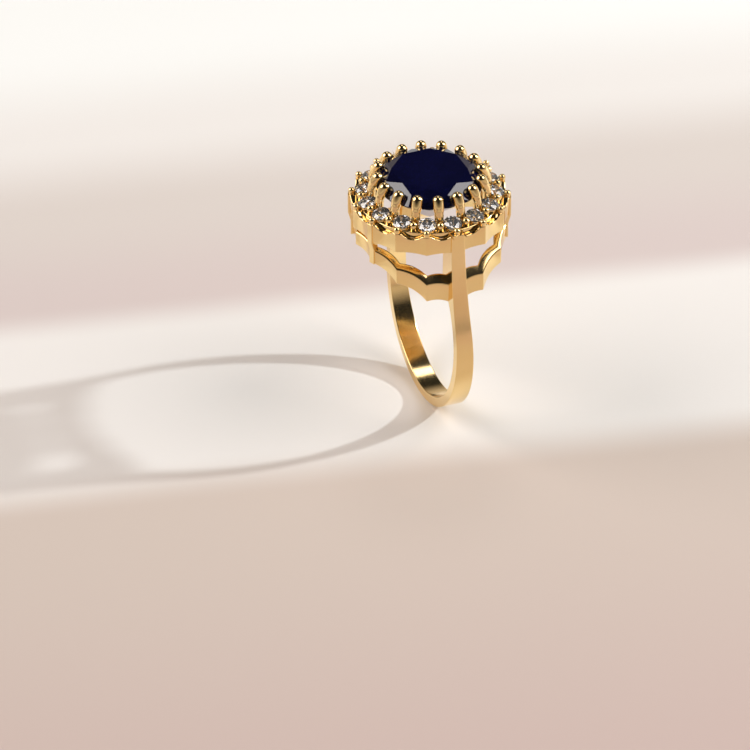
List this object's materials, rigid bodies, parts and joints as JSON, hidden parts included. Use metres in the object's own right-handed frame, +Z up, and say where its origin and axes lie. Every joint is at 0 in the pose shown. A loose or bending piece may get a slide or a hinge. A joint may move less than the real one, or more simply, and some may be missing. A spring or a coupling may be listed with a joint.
{
  "type": "cluster engagement ring",
  "caption": "Yellow-gold finger ring with a dark faceted centre stone in claws, a halo of small brilliants, scalloped gallery rails and a flat tapered shank.",
  "frame": {"origin": "centre of the finger bore, midway across the shank", "axes": "+Z up through the head, Y along the finger bore, X across the ring from arm to arm"},
  "size_m": [0.0192, 0.0154, 0.0252],
  "materials": {
    "gold": "polished yellow gold",
    "sapphire": "polished dark blue gemstone",
    "diamond": "polished colourless gemstone"
  },
  "bodies": {
    "root": {"sapphire": "sapphire", "halo_plate": "gold", "halo_rail": "gold", "gallery_rail": "gold", "shank": "gold", "post_1": "gold", "post_2": "gold", "post_3": "gold", "post_4": "gold", "claw_01": "gold", "claw_02": "gold", "claw_03": "gold", "claw_04": "gold", "claw_05": "gold", "claw_06": "gold", "claw_07": "gold", "claw_08": "gold", "claw_09": "gold", "claw_10": "gold", "claw_11": "gold", "claw_12": "gold", "claw_13": "gold", "claw_14": "gold", "claw_15": "gold", "claw_16": "gold", "prong_01": "gold", "prong_02": "gold", "prong_03": "gold", "prong_04": "gold", "prong_05": "gold", "prong_06": "gold", "prong_07": "gold", "prong_08": "gold", "prong_09": "gold", "prong_10": "gold", "prong_11": "gold", "prong_12": "gold", "prong_13": "gold", "prong_14": "gold", "prong_15": "gold", "prong_16": "gold", "diamond_01": "diamond", "diamond_02": "diamond", "diamond_03": "diamond", "diamond_04": "diamond", "diamond_05": "diamond", "diamond_06": "diamond", "diamond_07": "diamond", "diamond_08": "diamond", "diamond_09": "diamond", "diamond_10": "diamond", "diamond_11": "diamond", "diamond_12": "diamond", "diamond_13": "diamond", "diamond_14": "diamond", "diamond_15": "diamond", "diamond_16": "diamond"}
  },
  "joints": []
}
